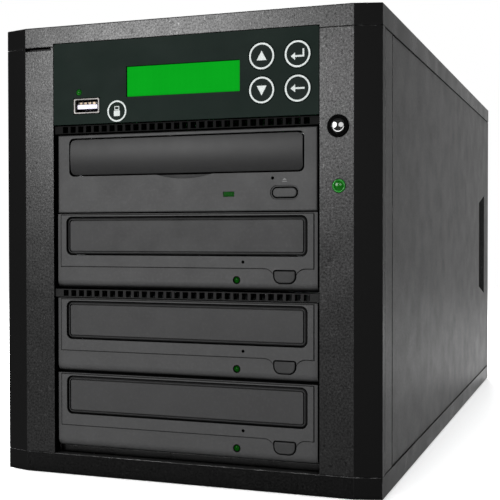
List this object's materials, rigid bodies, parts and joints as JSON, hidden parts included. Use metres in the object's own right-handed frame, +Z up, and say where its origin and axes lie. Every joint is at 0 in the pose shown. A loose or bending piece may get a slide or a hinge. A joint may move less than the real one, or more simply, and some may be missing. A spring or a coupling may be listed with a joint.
{
  "type": "optical disc duplicator tower",
  "caption": "Black desktop tower with stacked tray drives, a control panel with display and round keys above them, and a power button on the right column.",
  "frame": {"origin": "middle of the case at the surface its feet stand on", "axes": "+Z up, +X to the right and -Y to the front, as the user faces it"},
  "size_m": [0.212, 0.436, 0.2428],
  "materials": {
    "case_paint": "fine textured black",
    "bezel_plastic": "fine textured black",
    "chassis_steel": "black coated sheet",
    "screw_steel": "satin black",
    "foot_rubber": "matt",
    "panel_plastic": "semi gloss",
    "display_green": "lit green",
    "key_plastic": "semi gloss",
    "board_green": "circuit board",
    "socket_steel": "bright",
    "lamp_green": "clear green",
    "ring_plastic": "gloss",
    "button_chrome": "polished",
    "housing_steel": "galvanised",
    "drive_plastic": "matt black",
    "tray_plastic": "matt black",
    "hub_steel": "satin",
    "psu_steel": "galvanised",
    "fan_plastic": "satin black",
    "inlet_plastic": "satin black"
  },
  "bodies": {
    "case": {"top_cover": "case_paint", "base_cover": "case_paint", "front_bezel": "bezel_plastic", "lower_vent_bar": "bezel_plastic", "upper_vent_bar": "bezel_plastic", "chassis_base": "chassis_steel", "chassis_top": "chassis_steel", "chassis_front": "chassis_steel", "chassis_rear": "chassis_steel", "bay_side_left": "chassis_steel", "bay_side_right": "chassis_steel", "feet": "foot_rubber", "control_panel": "panel_plastic", "display": "display_green", "key_board": "board_green", "controller_board": "board_green", "usb_port": "socket_steel", "front_lamps": "lamp_green", "drive_lights": "lamp_green", "power_button_ring": "ring_plastic", "drive_1_housing": "housing_steel", "drive_2_housing": "housing_steel", "drive_3_housing": "housing_steel", "drive_4_housing": "housing_steel", "drive_1_bezel": "drive_plastic", "drive_2_bezel": "drive_plastic", "drive_3_bezel": "drive_plastic", "drive_4_bezel": "drive_plastic", "psu_case": "psu_steel", "psu_fan_frame": "fan_plastic", "rear_fan_frame": "fan_plastic", "power_inlet": "inlet_plastic"},
    "tray_1": {"drive_1_tray": "tray_plastic", "drive_1_tray_door": "drive_plastic"},
    "eject_1": {"drive_1_eject_button": "drive_plastic"},
    "spindle_1": {"drive_1_spindle": "hub_steel"},
    "tray_2": {"drive_2_tray": "tray_plastic", "drive_2_tray_door": "drive_plastic"},
    "eject_2": {"drive_2_eject_button": "drive_plastic"},
    "spindle_2": {"drive_2_spindle": "hub_steel"},
    "tray_3": {"drive_3_tray": "tray_plastic", "drive_3_tray_door": "drive_plastic"},
    "eject_3": {"drive_3_eject_button": "drive_plastic"},
    "spindle_3": {"drive_3_spindle": "hub_steel"},
    "tray_4": {"drive_4_tray": "tray_plastic", "drive_4_tray_door": "drive_plastic"},
    "eject_4": {"drive_4_eject_button": "drive_plastic"},
    "spindle_4": {"drive_4_spindle": "hub_steel"},
    "key_up_cap": {"key_up": "key_plastic"},
    "key_enter_cap": {"key_enter": "key_plastic"},
    "key_down_cap": {"key_down": "key_plastic"},
    "key_back_cap": {"key_back": "key_plastic"},
    "power_push": {"power_button": "button_chrome"},
    "rocker": {"power_switch": "inlet_plastic"},
    "psu_fan": {"psu_fan_rotor": "fan_plastic"},
    "rear_fan": {"rear_fan_rotor": "fan_plastic"},
    "panel_right": {"side_panel_right": "case_paint", "thumb_screws_right": "screw_steel"},
    "panel_left": {"side_panel_left": "case_paint", "thumb_screws_left": "screw_steel"}
  },
  "joints": [
    {"name": "tray_1_slide", "type": "slide", "parent": "case", "child": "tray_1", "axis": [0, -1, 0], "range_m": [0, 0.138]},
    {"name": "eject_1_press", "type": "slide", "parent": "case", "child": "eject_1", "axis": [0, 1, 0], "range_m": [0, 0.001], "stiffness_N_per_m": 400},
    {"name": "spindle_1_spin", "type": "hinge", "parent": "case", "child": "spindle_1", "pos_m": [0, -0.1396, 0.1553], "axis": [0, 0, 1], "continuous": true},
    {"name": "tray_2_slide", "type": "slide", "parent": "case", "child": "tray_2", "axis": [0, -1, 0], "range_m": [0, 0.138]},
    {"name": "eject_2_press", "type": "slide", "parent": "case", "child": "eject_2", "axis": [0, 1, 0], "range_m": [0, 0.001], "stiffness_N_per_m": 400},
    {"name": "spindle_2_spin", "type": "hinge", "parent": "case", "child": "spindle_2", "pos_m": [0, -0.1396, 0.1148], "axis": [0, 0, 1], "continuous": true},
    {"name": "tray_3_slide", "type": "slide", "parent": "case", "child": "tray_3", "axis": [0, -1, 0], "range_m": [0, 0.138]},
    {"name": "eject_3_press", "type": "slide", "parent": "case", "child": "eject_3", "axis": [0, 1, 0], "range_m": [0, 0.001], "stiffness_N_per_m": 400},
    {"name": "spindle_3_spin", "type": "hinge", "parent": "case", "child": "spindle_3", "pos_m": [0, -0.1396, 0.0695], "axis": [0, 0, 1], "continuous": true},
    {"name": "tray_4_slide", "type": "slide", "parent": "case", "child": "tray_4", "axis": [0, -1, 0], "range_m": [0, 0.138]},
    {"name": "eject_4_press", "type": "slide", "parent": "case", "child": "eject_4", "axis": [0, 1, 0], "range_m": [0, 0.001], "stiffness_N_per_m": 400},
    {"name": "spindle_4_spin", "type": "hinge", "parent": "case", "child": "spindle_4", "pos_m": [0, -0.1396, 0.029], "axis": [0, 0, 1], "continuous": true},
    {"name": "key_up_press", "type": "slide", "parent": "case", "child": "key_up_cap", "axis": [0, 1, 0], "range_m": [0, 0.0005], "stiffness_N_per_m": 800},
    {"name": "key_enter_press", "type": "slide", "parent": "case", "child": "key_enter_cap", "axis": [0, 1, 0], "range_m": [0, 0.0005], "stiffness_N_per_m": 800},
    {"name": "key_down_press", "type": "slide", "parent": "case", "child": "key_down_cap", "axis": [0, 1, 0], "range_m": [0, 0.0005], "stiffness_N_per_m": 800},
    {"name": "key_back_press", "type": "slide", "parent": "case", "child": "key_back_cap", "axis": [0, 1, 0], "range_m": [0, 0.0005], "stiffness_N_per_m": 800},
    {"name": "power_press", "type": "slide", "parent": "case", "child": "power_push", "axis": [0, 1, 0], "range_m": [0, 0.0015], "stiffness_N_per_m": 500},
    {"name": "mains_rock", "type": "hinge", "parent": "case", "child": "rocker", "pos_m": [0.054, 0.2105, 0.2027], "axis": [-1, 0, 0], "range_deg": [0, 18]},
    {"name": "psu_fan_spin", "type": "hinge", "parent": "case", "child": "psu_fan", "pos_m": [-0.03, 0.1975, 0.1877], "axis": [0, 1, 0], "continuous": true},
    {"name": "rear_fan_spin", "type": "hinge", "parent": "case", "child": "rear_fan", "pos_m": [0, 0.1985, 0.074], "axis": [0, 1, 0], "continuous": true},
    {"name": "panel_right_slide", "type": "slide", "parent": "case", "child": "panel_right", "axis": [0, 1, 0], "range_m": [0, 0.02]},
    {"name": "panel_left_slide", "type": "slide", "parent": "case", "child": "panel_left", "axis": [0, 1, 0], "range_m": [0, 0.02]}
  ]
}
